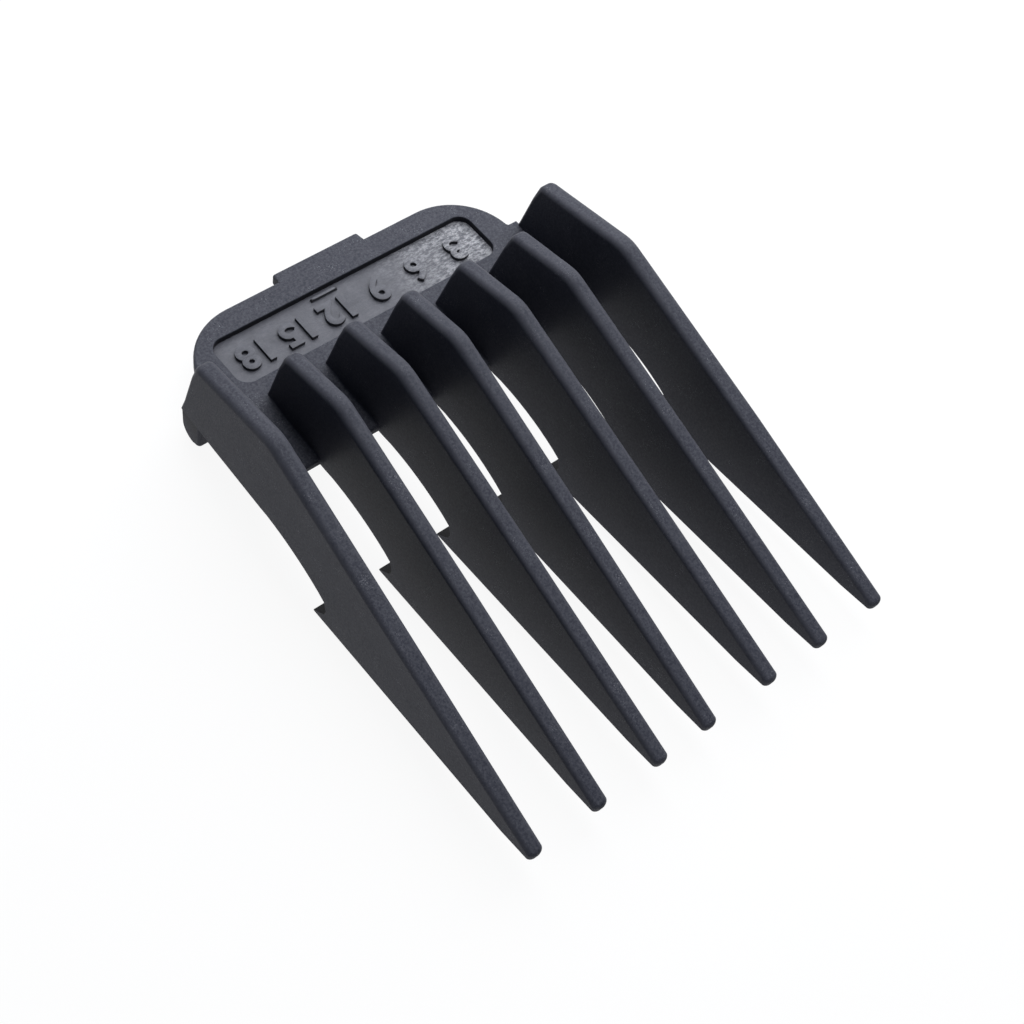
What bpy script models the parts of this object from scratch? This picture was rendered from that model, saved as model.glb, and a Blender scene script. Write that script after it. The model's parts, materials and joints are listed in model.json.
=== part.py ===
"""Clip-on guide comb for a hair clipper, 12 mm cutting length.

Metres, +Z up. The comb lies as it does on a table: on the lip under its heel
and on the seven blade hooks. +Y runs from the heel to the tooth tips, +X
towards tooth 1. Everything is modelled in the comb's own frame, where z = 0
is the top of the heel plate and y = 0 is the plate's rear edge, and one
parent empty tilts and lifts it on to the table.

The real comb is a single moulding. It is divided here where its functions
divide: seven teeth, the bridges that join them, the heel plate with its
label panel and release tab, and the latch lip that grips the blade's rear
edge, whose two ends are closed by a cheek under each outer tooth.
"""
import bpy
import bmesh
from math import atan2, radians, sin, tan
from mathutils import Vector

MM = 0.001

# --- driving dimensions, in the comb's own frame -------------------------------

CLEARANCE = 0.3 * MM           # left between neighbouring solids

HEEL_PITCH = 7.15 * MM         # spacing of teeth 2 to 6 at the heel
TIP_PITCH = 7.47 * MM          # and at the tips, where the teeth fan out a little
OUTER_TOOTH = 3                # teeth are counted -3 .. 3 from the middle one
OUTER_EXTRA = 0.4 * MM         # the outer teeth stand this much further out
TIP_SET = {1: -0.3 * MM, 0: 0.7 * MM, -1: -0.2 * MM}   # sideways set of the middle teeth's tips
OUTER_LEAN = 0.2 * MM          # how far an outer tooth's top leans inwards
OUTER_BOW = 0.28 * MM          # how far its outer side bows outwards half-way along
INNER_BOW = 0.05 * MM          # and how far its inner side follows
ROOT_THICKNESS = 2.0 * MM
TIP_THICKNESS = 1.75 * MM

PLATE_TOP = 0.0
PLATE_THICKNESS = 1.5 * MM
SEAT_Z = PLATE_TOP - PLATE_THICKNESS   # the plane that the blade's face rests on
PLATE_HALF_WIDTH = 20.0 * MM
PLATE_FRONT = 10.5 * MM
PLATE_CORNER = 7.5 * MM
WEB_REAR = 7.06 * MM           # in front of this the plate reaches out to teeth 1 and 7

PANEL_HALF_WIDTH = 16.75 * MM
PANEL_REAR = 2.95 * MM
PANEL_FRONT = 9.35 * MM
PANEL_CORNER = 1.5 * MM
PANEL_DEPTH = 0.75 * MM

TAB_CENTRE = 0.3 * MM          # the tab sits a little off the middle
TAB_HALF_WIDTH = 5.55 * MM
TAB_REACH = 1.15 * MM
TAB_EDGE_RADIUS = 0.35 * MM

INNER_HEEL = 10.9 * MM         # heel foot of teeth 2 to 6
INNER_HEEL_TOP = (13.65 * MM, 8.3 * MM)
OUTER_HEEL = 7.2 * MM          # heel foot of teeth 1 and 7, further back
OUTER_HEEL_TOP = (9.6 * MM, 7.8 * MM)
TOOTH_BEND = (21.95 * MM, 9.95 * MM)
TIP_TOP = (64.4 * MM, -5.3 * MM)
TIP_BOTTOM = (64.2 * MM, -6.5 * MM)
HOOK_TIP = (30.8 * MM, -7.5 * MM)
HOOK_HOLLOW = (32.95 * MM, -5.8 * MM)  # deepest corner of the hollow above the hook
NOTCH_ROOF = (32.5 * MM, -4.15 * MM)   # where the blade's cutting edge ends up
SEAT_FRONT = 21.5 * MM         # the underside is flat as far as this
SEAT_DROP_RADIUS = 24.0 * MM   # then it follows the blade's sloping front
HEEL_TOP_RADIUS = 1.2 * MM     # corners of a tooth, seen from the side
BEND_RADIUS = 4.0 * MM
TIP_RADIUS = 0.5 * MM
HOOK_TIP_RADIUS = 0.15 * MM
HOOK_HOLLOW_RADIUS = 1.0 * MM
NOTCH_RADIUS = 0.3 * MM

BRIDGE_FRONT = 20.6 * MM
BRIDGE_RAMP = (12.3 * MM, 15.2 * MM)   # the bridge slopes down between these lines
BRIDGE_RAMP_RADIUS = 3.0 * MM
BRIDGE_TOP = -0.5 * MM
BRIDGE_FALL = 0.1 * MM         # how far the bridge slopes on down to its front edge
BRIDGE_FRONT_RADIUS = 0.3 * MM

LIP_REAR = 7.1 * MM
LIP_THICKNESS = 1.35 * MM
LIP_BOTTOM = -5.5 * MM
LIP_NOSE = 10.15 * MM
LIP_SLOT_FLOOR = -3.7 * MM     # the blade's rear edge slides in above this
LIP_NOSE_RISE = 0.2 * MM       # the nose curls up this much at its front
LIP_HEEL_RADIUS = 1.9 * MM
LIP_NOSE_RADIUS = 0.8 * MM
LIP_SLOT_RADIUS = 0.5 * MM
CHEEK_INNER = 20.9 * MM        # the cheeks that close the lip's ends reach from here ...
CHEEK_OUTER = 22.7 * MM        # ... to here, under the outer teeth
FLEX_AXIS = (10.65 * MM, -0.75 * MM)   # the heel plate bends about this line

ARC_STEPS = 5                  # faces round a corner
PLATE_ARC_STEPS = 8            # and round the plate's and the panel's corners
DROP_STATIONS = (0.85, 0.65, 0.45, 0.25)   # where the sloping underside has its points
TOP_EDGE_RADIUS = 0.4 * MM
PLATE_EDGE_RADIUS = 0.3 * MM
SHARP_ANGLE = radians(50)      # plate edges sharper than this are rounded
REST_LIP_Y = 9.2 * MM          # middle of the lips' flat underside

PLASTIC = (0.022, 0.023, 0.026, 1.0)
PANEL_PLASTIC = (0.05, 0.051, 0.055, 1.0)


# --- the scene ------------------------------------------------------------------

def clear_scene():
    for thing in list(bpy.data.objects):
        bpy.data.objects.remove(thing, do_unlink=True)


def plastic(name, colour, roughness):
    """A moulded plastic: its colour and roughness, never metallic."""
    material = bpy.data.materials.new(name)
    material.use_nodes = True
    shader = material.node_tree.nodes["Principled BSDF"]
    shader.inputs["Base Color"].default_value = colour
    shader.inputs["Roughness"].default_value = roughness
    shader.inputs["Metallic"].default_value = 0.0
    return material


def add_empty(name, parent=None, location=(0, 0, 0)):
    empty = bpy.data.objects.new(name, None)
    bpy.context.scene.collection.objects.link(empty)
    empty.location = location
    empty.parent = parent
    return empty


def add_solid(name, mesh_builder, parent, colour=PLASTIC, roughness=0.55, origin=(0, 0, 0)):
    """Turns a bmesh into a named object whose origin is at a point of the comb's frame."""
    bmesh.ops.translate(mesh_builder, vec=-Vector(origin), verts=mesh_builder.verts)
    bmesh.ops.recalc_face_normals(mesh_builder, faces=mesh_builder.faces)
    mesh = bpy.data.meshes.new(name)
    mesh_builder.to_mesh(mesh)
    mesh_builder.free()
    solid = bpy.data.objects.new(name, mesh)
    bpy.context.scene.collection.objects.link(solid)
    solid.parent = parent
    solid.data.materials.append(plastic(name, colour, roughness))
    return solid


# --- outlines --------------------------------------------------------------------

def rounded_outline(corners, steps=ARC_STEPS):
    """A closed outline from (point, radius) corners, each turned into an arc."""
    outline = []
    for index, (corner, radius) in enumerate(corners):
        here = Vector(corner)
        before = Vector(corners[index - 1][0]) - here
        after = Vector(corners[(index + 1) % len(corners)][0]) - here
        if radius == 0:
            outline.append(here)
            continue
        half_angle = before.angle(after) / 2
        reach = radius / tan(half_angle)
        centre = here + (before.normalized() + after.normalized()).normalized() * (radius / sin(half_angle))
        start = here + before.normalized() * reach - centre
        end = here + after.normalized() * reach - centre
        sweep = start.angle(end)
        for step in range(steps + 1):
            share = step / steps
            blend = (start * sin((1 - share) * sweep) + end * sin(share * sweep)) / sin(sweep)
            outline.append(centre + blend)
    return outline


def extrude_between(outline, low_x, high_x):
    """A solid with a (y, z) outline whose two sides lie at low_x(y, z) and high_x(y, z)."""
    builder = bmesh.new()
    low = [builder.verts.new((low_x(y, z), y, z)) for y, z in outline]
    high = [builder.verts.new((high_x(y, z), y, z)) for y, z in outline]
    builder.faces.new(low)
    builder.faces.new(reversed(high))
    for index in range(len(outline)):
        after = (index + 1) % len(outline)
        builder.faces.new((low[after], low[index], high[index], high[after]))
    return builder


def extrude_up(outline, low_z, high_z):
    """A plate with an (x, y) outline between two heights."""
    builder = bmesh.new()
    base = builder.faces.new([builder.verts.new((x, y, low_z)) for x, y in outline])
    moved = bmesh.ops.extrude_face_region(builder, geom=[base])
    top = [item for item in moved["geom"] if isinstance(item, bmesh.types.BMVert)]
    bmesh.ops.translate(builder, vec=(0, 0, high_z - low_z), verts=top)
    return builder


def rounded_rectangle(half_width, rear, front, radius, front_radius=None):
    """A symmetric (x, y) outline, from its right rear corner round to its left rear corner."""
    front_radius = radius if front_radius is None else front_radius
    return rounded_outline((
        ((half_width, rear), radius),
        ((half_width, front), front_radius),
        ((-half_width, front), front_radius),
        ((-half_width, rear), radius),
    ), steps=PLATE_ARC_STEPS)


# --- teeth -----------------------------------------------------------------------

def along(y):
    """0 at the outer teeth's heel and 1 at the tips."""
    return (y - OUTER_HEEL) / (TIP_TOP[0] - OUTER_HEEL)


def tooth_centre(place, y, z):
    """Middle of a tooth in X. place is 3 for tooth 1 and -3 for tooth 7."""
    spread = HEEL_PITCH + (TIP_PITCH - HEEL_PITCH) * along(y)
    centre = place * spread + TIP_SET.get(place, 0.0) * along(y)
    if abs(place) == OUTER_TOOTH:
        height = (z - SEAT_Z) / (TOOTH_BEND[1] - SEAT_Z)
        centre += (OUTER_EXTRA - OUTER_LEAN * height) * place / OUTER_TOOTH
    return centre


def tooth_side(place, side, extra=0.0):
    """The side face of a tooth, or a face beside it, as a function of (y, z): side is -1 or 1."""
    bow = {OUTER_TOOTH: OUTER_BOW, -OUTER_TOOTH: -INNER_BOW}.get(place * side, 0.0)

    def x_at(y, z):
        half = (ROOT_THICKNESS + (TIP_THICKNESS - ROOT_THICKNESS) * along(y)) / 2
        half += bow * 4 * along(y) * (1 - along(y))
        return tooth_centre(place, y, z) + side * (half + extra)
    return x_at


def seat_drop(y):
    """Height of the teeth's underside in front of the flat seat."""
    run = max(0.0, y - SEAT_FRONT)
    return SEAT_Z - SEAT_DROP_RADIUS + (SEAT_DROP_RADIUS ** 2 - run ** 2) ** 0.5


def tooth_outline(heel, heel_top):
    """Side view of a tooth: heel, skin side, tip, blade hook, notch, seat."""
    drop_points = [SEAT_FRONT + (NOTCH_ROOF[0] - SEAT_FRONT) * share for share in DROP_STATIONS]
    corners = [
        ((heel, SEAT_Z), 0),
        (heel_top, HEEL_TOP_RADIUS),
        (TOOTH_BEND, BEND_RADIUS),
        (TIP_TOP, TIP_RADIUS),
        (TIP_BOTTOM, TIP_RADIUS),
        (HOOK_TIP, HOOK_TIP_RADIUS),
        (HOOK_HOLLOW, HOOK_HOLLOW_RADIUS),
        (NOTCH_ROOF, NOTCH_RADIUS),
    ]
    corners += [((y, seat_drop(y)), 0) for y in drop_points]
    corners.append(((SEAT_FRONT, SEAT_Z), 0))
    return rounded_outline(corners)


def skin_side_edges(builder, outline_length):
    """The edges along a tooth's heel, top and tip, on both its side faces."""
    builder.verts.index_update()
    rounded_corners = 4
    skin_points = 1 + rounded_corners * (ARC_STEPS + 1)
    edges = []
    for edge in builder.edges:
        sides, places = zip(*(divmod(vert.index, outline_length) for vert in edge.verts))
        if sides[0] == sides[1] and max(places) < skin_points:
            edges.append(edge)
    return edges


def add_tooth(number, parent):
    place = 4 - number
    outer = abs(place) == OUTER_TOOTH
    heel = OUTER_HEEL if outer else INNER_HEEL
    heel_top = OUTER_HEEL_TOP if outer else INNER_HEEL_TOP
    outline = tooth_outline(heel, heel_top)
    builder = extrude_between(outline, tooth_side(place, -1), tooth_side(place, 1))
    bmesh.ops.bevel(builder, geom=skin_side_edges(builder, len(outline)), offset=TOP_EDGE_RADIUS,
                    segments=2, profile=0.5, affect="EDGES", clamp_overlap=True)
    add_solid(f"tooth_{number}", builder, parent)


def add_bridge(number, parent):
    """The web of the moulding between tooth number and the next one."""
    near, far = 4 - number, 3 - number
    outline = rounded_outline((
        ((INNER_HEEL, SEAT_Z), 0),
        ((INNER_HEEL, PLATE_TOP), 0),
        ((BRIDGE_RAMP[0], PLATE_TOP), BRIDGE_RAMP_RADIUS),
        ((BRIDGE_RAMP[1], BRIDGE_TOP), BRIDGE_RAMP_RADIUS),
        ((BRIDGE_FRONT, BRIDGE_TOP - BRIDGE_FALL), BRIDGE_FRONT_RADIUS),
        ((BRIDGE_FRONT, SEAT_Z), 0),
    ))
    builder = extrude_between(outline, tooth_side(far, 1, CLEARANCE), tooth_side(near, -1, CLEARANCE))
    add_solid(f"bridge_{number}_{number + 1}", builder, parent)


# --- heel ------------------------------------------------------------------------

def lip_outline():
    """Side view of the latch lip: a wall that curls forwards under the blade's rear edge."""
    top = SEAT_Z - CLEARANCE
    slot = LIP_REAR + LIP_THICKNESS
    return rounded_outline((
        ((LIP_REAR, top), 0),
        ((LIP_REAR, LIP_BOTTOM), LIP_HEEL_RADIUS),
        ((LIP_NOSE, LIP_BOTTOM), LIP_NOSE_RADIUS),
        ((LIP_NOSE, LIP_SLOT_FLOOR + LIP_NOSE_RISE), LIP_SLOT_RADIUS),
        ((slot, LIP_SLOT_FLOOR), LIP_SLOT_RADIUS),
        ((slot, top), 0),
    ))


def cheek_outline():
    """Side view of a heel lip's end: the same profile without the blade's slot."""
    top = SEAT_Z - CLEARANCE
    return rounded_outline((
        ((LIP_REAR, top), 0),
        ((LIP_REAR, LIP_BOTTOM), LIP_HEEL_RADIUS),
        ((LIP_NOSE, LIP_BOTTOM), LIP_NOSE_RADIUS),
        ((LIP_NOSE, top), 0),
    ))


def add_lip(name, outline, low, high, parent, origin=(0, 0, 0)):
    builder = extrude_between(outline, lambda y, z: low, lambda y, z: high)
    add_solid(name, builder, parent, origin=origin)


def plate_outline():
    """Round rear corners, then a step out to the inner sides of teeth 1 and 7."""
    plain = rounded_rectangle(PLATE_HALF_WIDTH, 0.0, PLATE_FRONT, PLATE_CORNER, front_radius=0)
    round_part = [point for point in plain if point.y < WEB_REAR]
    right_arc = [point for point in round_part if point.x > 0]
    left_arc = [point for point in round_part if point.x < 0]
    web = tooth_side(OUTER_TOOTH, -1, CLEARANCE)(OUTER_HEEL, PLATE_TOP)
    right_step = [(PLATE_HALF_WIDTH, WEB_REAR), (web, WEB_REAR), (web, PLATE_FRONT)]
    left_step = [(-x, y) for x, y in reversed(right_step)]
    return right_arc + right_step + left_step + left_arc


def add_heel_plate(parent, origin):
    """The flat rear plate as a frame around the label panel."""
    outline = plate_outline()
    frame = add_solid("heel_plate", extrude_up(outline, SEAT_Z, PLATE_TOP), parent, origin=origin)
    window = rounded_rectangle(PANEL_HALF_WIDTH, PANEL_REAR, PANEL_FRONT, PANEL_CORNER)
    cutter = add_solid("panel_cutter", extrude_up(window, SEAT_Z - MM, PLATE_TOP + MM), parent, origin=origin)
    cutter.hide_render = True
    cutter.display_type = "WIRE"
    cut = frame.modifiers.new("panel_window", "BOOLEAN")
    cut.operation = "DIFFERENCE"
    cut.object = cutter
    edge = frame.modifiers.new("moulded_edge", "BEVEL")
    edge.width = PLATE_EDGE_RADIUS
    edge.segments = 2
    edge.limit_method = "ANGLE"
    edge.angle_limit = SHARP_ANGLE


def add_label_panel(parent, origin):
    outline = rounded_rectangle(PANEL_HALF_WIDTH - CLEARANCE, PANEL_REAR + CLEARANCE,
                                PANEL_FRONT - CLEARANCE, PANEL_CORNER - CLEARANCE)
    builder = extrude_up(outline, SEAT_Z, PLATE_TOP - PANEL_DEPTH)
    add_solid("label_panel", builder, parent, PANEL_PLASTIC, 0.4, origin=origin)


def add_release_tab(parent, origin):
    """The small ledge behind the plate that a thumb lifts."""
    outline = rounded_outline((
        ((-CLEARANCE, SEAT_Z), 0),
        ((-CLEARANCE, PLATE_TOP), 0),
        ((-TAB_REACH, PLATE_TOP), TAB_EDGE_RADIUS),
        ((-TAB_REACH, SEAT_Z), TAB_EDGE_RADIUS),
    ))
    low, high = TAB_CENTRE - TAB_HALF_WIDTH, TAB_CENTRE + TAB_HALF_WIDTH
    builder = extrude_between(outline, lambda y, z: low, lambda y, z: high)
    add_solid("release_tab", builder, parent, origin=origin)


# --- assembly --------------------------------------------------------------------

def rest_on_table(frame):
    """Tilts the comb until lips and hooks touch the table, and centres it over the origin."""
    drop = LIP_BOTTOM - HOOK_TIP[1]
    frame.rotation_euler = (atan2(drop, HOOK_TIP[0] - REST_LIP_Y), 0, 0)
    bpy.context.view_layer.update()
    corners = []
    for solid in bpy.data.objects:
        if solid.type == "MESH" and not solid.hide_render:
            corners += [solid.matrix_world @ vert.co for vert in solid.data.vertices]
    low_y, high_y = min(c.y for c in corners), max(c.y for c in corners)
    frame.location = (0, -(low_y + high_y) / 2, -min(c.z for c in corners))


def build():
    clear_scene()
    comb = add_empty("comb_frame")
    flex_origin = (0, *FLEX_AXIS)
    flex = add_empty("heel_flex_axis", comb, flex_origin)
    for number in range(1, 8):
        add_tooth(number, comb)
    for number in range(1, 7):
        add_bridge(number, comb)
    add_lip("heel_lip_right", cheek_outline(), CHEEK_INNER, CHEEK_OUTER, comb)
    add_lip("heel_lip_left", cheek_outline(), -CHEEK_OUTER, -CHEEK_INNER, comb)
    middle = CHEEK_INNER - CLEARANCE
    add_lip("latch_lip", lip_outline(), -middle, middle, flex, origin=flex_origin)
    add_heel_plate(flex, flex_origin)
    add_label_panel(flex, flex_origin)
    add_release_tab(flex, flex_origin)
    rest_on_table(comb)


build()
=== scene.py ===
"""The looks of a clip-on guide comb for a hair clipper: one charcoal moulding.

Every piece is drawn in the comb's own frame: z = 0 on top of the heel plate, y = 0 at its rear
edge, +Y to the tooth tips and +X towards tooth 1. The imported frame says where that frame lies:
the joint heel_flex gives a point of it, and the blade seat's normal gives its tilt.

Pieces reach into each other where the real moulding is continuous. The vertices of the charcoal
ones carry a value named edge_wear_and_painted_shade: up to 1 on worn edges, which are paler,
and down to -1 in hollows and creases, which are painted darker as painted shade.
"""
import json
from math import atan2, ceil, cos, radians, sin, sqrt, tan

import bpy
import bmesh
from mathutils import Matrix, Vector


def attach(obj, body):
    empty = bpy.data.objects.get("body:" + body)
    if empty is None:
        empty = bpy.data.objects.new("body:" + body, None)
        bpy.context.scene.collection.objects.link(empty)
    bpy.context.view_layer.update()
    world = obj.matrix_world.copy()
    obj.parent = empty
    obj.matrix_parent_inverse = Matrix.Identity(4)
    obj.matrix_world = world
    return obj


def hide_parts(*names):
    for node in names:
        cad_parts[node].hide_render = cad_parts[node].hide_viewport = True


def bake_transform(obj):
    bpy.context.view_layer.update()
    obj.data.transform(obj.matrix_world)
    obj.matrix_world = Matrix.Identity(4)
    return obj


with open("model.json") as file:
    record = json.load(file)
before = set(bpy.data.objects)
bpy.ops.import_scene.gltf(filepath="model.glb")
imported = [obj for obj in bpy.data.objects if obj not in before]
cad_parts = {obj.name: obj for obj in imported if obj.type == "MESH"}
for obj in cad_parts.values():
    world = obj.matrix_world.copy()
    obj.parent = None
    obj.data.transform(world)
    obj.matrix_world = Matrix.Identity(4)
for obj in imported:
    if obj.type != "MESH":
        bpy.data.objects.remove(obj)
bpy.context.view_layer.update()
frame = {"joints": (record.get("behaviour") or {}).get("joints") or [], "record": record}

MM = 0.001

# --- dimensions, in the comb's own frame; points are (y, z) --------------------------

HEEL_PITCH = 7.15 * MM
TIP_PITCH = 7.47 * MM
TEETH = 7
MIDDLE_TOOTH = 4
OUTER_TOOTH = 3                # teeth 1 and 7 are this many places from the middle tooth
OUTER_EXTRA = 0.4 * MM         # the outer teeth stand this much further out
OUTER_LEAN = 0.2 * MM          # and lean in by this much at their bend
OUTER_BOW = 0.28 * MM          # the outer teeth's outer faces bulge by this much
INNER_BOW = 0.05 * MM          # and their inner faces are hollow by this much
TIP_SET = {1: -0.3 * MM, 0: 0.7 * MM, -1: -0.2 * MM}    # sideways set of the middle tips
ROOT_THICKNESS = 2.0 * MM
TIP_THICKNESS = 1.75 * MM
TIP_ROUND = 0.8 * MM           # the tips are rounded this far back, seen from above
TIP_NARROWING = 0.6            # and each side loses this share of a full arc's width

PLATE_TOP = 0.0
SEAT_Z = -1.5 * MM
PLATE_HALF_WIDTH = 20.0 * MM
PLATE_CORNER = 7.5 * MM
PLATE_EDGE = 0.35 * MM         # rounding of the plate's upper edge
UNDER_EDGE_SHARE = 0.4         # its lower edge has this share of that rounding
PLATE_JOIN = 12.0 * MM         # here the plate's skin meets the bridges'
FOOT_RISE = 0.04 * MM          # behind it the teeth's undersides stop this far inside the plate
WEB_REAR = 7.06 * MM
WEB_CORNER = 0.3 * MM          # the plate's round corner ends this far behind its outer webs
WEB_CORNER_POINTS = (          # offset in x, offset in y and share of the edge's rounding
    (-0.02 * MM, -0.25 * MM, 1.0),
    (0.05 * MM, -0.06 * MM, 0.7),
    (0.25 * MM, 0.0, 0.5),
)
PANEL_HALF_WIDTH = 16.75 * MM
PANEL_REAR = 2.95 * MM
PANEL_FRONT = 9.35 * MM
PANEL_CORNER = 1.5 * MM
PANEL_DEPTH = 0.75 * MM
PANEL_THICKNESS = 0.4 * MM
PANEL_OVERLAP = 0.05 * MM      # the panel reaches this far under the recess's walls
RECESS_EDGE = 0.12 * MM
RECESS_OVERLAP = 0.1 * MM      # the recess's walls reach this far below the panel's top
RECESS_WEAR_AND_PAINTED_SHADE = (0.0, 0.6, 0.6, 0.6, 0.2, -0.4, -0.8, -1.0)    # worn paler at its rim and painted shade lower down, from its rim down to its floor
TAB_CENTRE = 0.3 * MM
TAB_HALF_WIDTH = 5.55 * MM
TAB_REACH = 1.15 * MM
TAB_CORNER = 0.35 * MM
TAB_END_RADIUS = 0.3 * MM
TAB_JOIN = 0.05 * MM           # the plate's and the tab's edges are sharp this close to each other

INNER_HEEL = 10.9 * MM
INNER_HEEL_TOP = (13.65 * MM, 8.3 * MM)
OUTER_HEEL = 7.2 * MM
OUTER_HEEL_TOP = (9.6 * MM, 7.8 * MM)
HEEL_TOP_RADIUS = 1.2 * MM
TOOTH_BEND = (21.95 * MM, 9.95 * MM)
BEND_RADIUS = 4.0 * MM
TIP_TOP = (64.4 * MM, -5.3 * MM)
TIP_TOP_RADIUS = 0.6 * MM
TIP_BOTTOM = (64.2 * MM, -6.5 * MM)
TIP_BOTTOM_RADIUS = 0.5 * MM
HOOK_TIP = (30.8 * MM, -7.5 * MM)
HOOK_TIP_RADIUS = 0.12 * MM
HOOK_HOLLOW = (32.95 * MM, -5.8 * MM)
HOOK_HOLLOW_RADIUS = 1.0 * MM
NOTCH_ROOF = (32.5 * MM, -4.15 * MM)
NOTCH_RADIUS = 0.2 * MM
SEAT_FRONT = 21.5 * MM
SEAT_DROP_RADIUS = 24.0 * MM
DROP_STATIONS = 10             # steps of the underside's curve between the seat and the notch

BRIDGE_FRONT = 20.6 * MM
BRIDGE_RAMP = (12.3 * MM, 15.2 * MM)    # the ramp's two ends in y
BRIDGE_RAMP_RADIUS = 3.0 * MM
BRIDGE_TOP = -0.55 * MM
BRIDGE_FALL = 0.1 * MM         # the bridge's top falls by this much towards its front
BRIDGE_FRONT_RADIUS = 0.3 * MM
BRIDGE_SEAT_RADIUS = 0.08 * MM
BRIDGE_FOOT_RISE = 0.05 * MM   # a bridge's underside is this much higher where a tooth hides it
WEB_FILLET = 0.3 * MM

LIP_REAR = 7.1 * MM
LIP_THICKNESS = 1.35 * MM
LIP_BOTTOM = -5.5 * MM
LIP_NOSE = 10.15 * MM
LIP_NOSE_RISE = 0.2 * MM       # the nose is this much higher than the slot's floor
LIP_NOSE_TOP_RADIUS = 0.6 * MM
LIP_SLOT_FLOOR = -3.7 * MM
LIP_SLOT_RADIUS = 0.5 * MM
LIP_HEEL_RADIUS = 1.9 * MM
LIP_NOSE_RADIUS = 0.8 * MM
LIP_OVERLAP = 0.1 * MM         # the lips reach this far up into the plate and the teeth
LIP_SPLIT = 20.75 * MM         # the latch lip's skin meets its two cheeks here
CHEEK_OUTER = 22.7 * MM
CHEEK_SHADE = 0.8 * MM         # painted shade of the crease under the outer teeth darkens a cheek this far down
CHEEK_SLANT = 0.04 * MM        # from corner to corner, a cheek's rear face slants by this much
CHEEK_NOSE_SLANT = 0.02 * MM
CHEEK_EDGE = 0.4 * MM

FLEX_AXIS = Vector((0.0, 10.65 * MM, -0.75 * MM))
FLEX_REAR = 9.5 * MM           # the plate's skin is cut across from here
FLEX_FRONT = 10.9 * MM         # to here
FLEX_CUTS = 8                  # lines across the plate between FLEX_REAR and FLEX_FRONT, which cut its skin

NUMERALS = ("3", "6", "9", "12", "15", "18")
OWN_NUMERAL = "12"
NUMERAL_PITCH = 5.2 * MM
NUMERAL_SIZE = 4.2 * MM
NUMERAL_BOLDNESS = 0.025       # as a share of its size, like the bevel
NUMERAL_BEVEL = 0.012
NUMERAL_CURVE_STEPS = 4
MARK_RISE = 0.4 * MM           # how far the marking stands out of the recess floor
NUMERAL_MIDDLE = 0.4 * MARK_RISE    # a numeral's middle plane lies this far above that floor
BAR_OFFSET = 2.5 * MM          # from the numerals' middle line to the bar
BAR_WIDTH = 3.4 * MM
BAR_LENGTH = 0.4 * MM
BAR_RISE = 0.9 * MARK_RISE
BAR_OVERLAP = 0.05 * MM
BAR_BEVEL = 0.05 * MM
BAR_SHOULDER = 0.94            # share of the bar's width that is left at its bevel
BAR_CROWN = 0.8                # and on its top

BEND_EDGE = 0.8 * MM           # rounding of a tooth's edges at its bend
HEEL_TOP_EDGE = 0.64 * MM      # at the top of its heel
TIP_EDGE = 0.5 * MM            # at its tip
TIP_BOTTOM_EDGE = 0.45 * MM    # below its tip
HEEL_EDGE = 0.38 * MM          # up its heel
SEAT_EDGE = 0.12 * MM          # on the side of the blade
NOTCH_EDGE = 0.05 * MM         # round its hook and notch
CRISP = 0.03 * MM              # and along the flat seat
HEEL_EDGE_SPAN = (0.2, 0.75)   # shares of the heel's length between which it has HEEL_EDGE
TAPER_END = 0.5                # the edge has narrowed to TIP_EDGE at this share from bend to tip
BELLY_START = 0.12             # share of the way from the tip to the hook where SEAT_EDGE begins

EMBED = 0.3 * MM               # how deep one piece of the moulding's skin reaches into the next
CLOSE = 0.01 * MM              # nearer than this counts as touching
MERGE_DISTANCE = 0.5e-6
SLIVER_SIZE = 0.2e-6
ARC_STEP = radians(9)
CORNER_ARC = [radians(5 * step) for step in range(18)]
QUARTER = [radians(15 * step) for step in range(7)]
SIDES = ((-1, QUARTER[::-1]), (1, QUARTER))    # a solid's two ends in x, and their edges' arcs
SHARP_ANGLE = radians(40)

# --- colours, light and camera --------------------------------------------------------

CHARCOAL = (0.0236, 0.0246, 0.0330)
CHARCOAL_CLOUD = (0.0288, 0.0300, 0.0388)
CHARCOAL_MOTTLE = (0.066, 0.0675, 0.0775)
CHARCOAL_PAINTED_GLINT = (0.16, 0.162, 0.175)
CHARCOAL_WORN = (0.048, 0.049, 0.058)
CHARCOAL_PAINTED_SHADE = (0.016, 0.016, 0.019)
SPARKED = (0.041, 0.042, 0.051)
SPARKED_CLOUD = (0.063, 0.064, 0.075)
SPARKED_PAINTED_HIGHLIGHT = (0.33, 0.332, 0.345)
SPARKED_PAINTED_FLANK_SHADE = (0.03, 0.03, 0.034)
FLOOR_COLOUR = (0.06, 0.06, 0.06, 1)
FLOOR_GLOW = 0.92
FLOOR_SIZE = 3.0
FLOOR_GAP = 0.05 * MM          # keeps the floor clear of the feet that rest on it

LIGHT_COLOUR = (0.96, 0.975, 1.0)
OVERHEAD_PLACE = (-0.27, -0.235, 0.19)
OVERHEAD_SIZE = (0.56, 0.53)
OVERHEAD_POWER = 4.7
STRIP_PLACE = (0.0, -0.02, 0.4)
STRIP_SIZE = (0.1, 0.5)
STRIP_POWER = 0.35
WORLD_COLOUR = (0.38, 0.45, 0.62, 1)
WORLD_STRENGTH = 0.30

CAMERA_PLACE = Vector((81.0 * MM, 53.8 * MM, 158.4 * MM))
CAMERA_TARGET = Vector((2.38 * MM, 3.7 * MM, 4.97 * MM))
CAMERA_ROLL = radians(21.4)
CAMERA_LENS = 62.9
CAMERA_SENSOR = 36.0
CAMERA_NEAREST = 0.01


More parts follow.
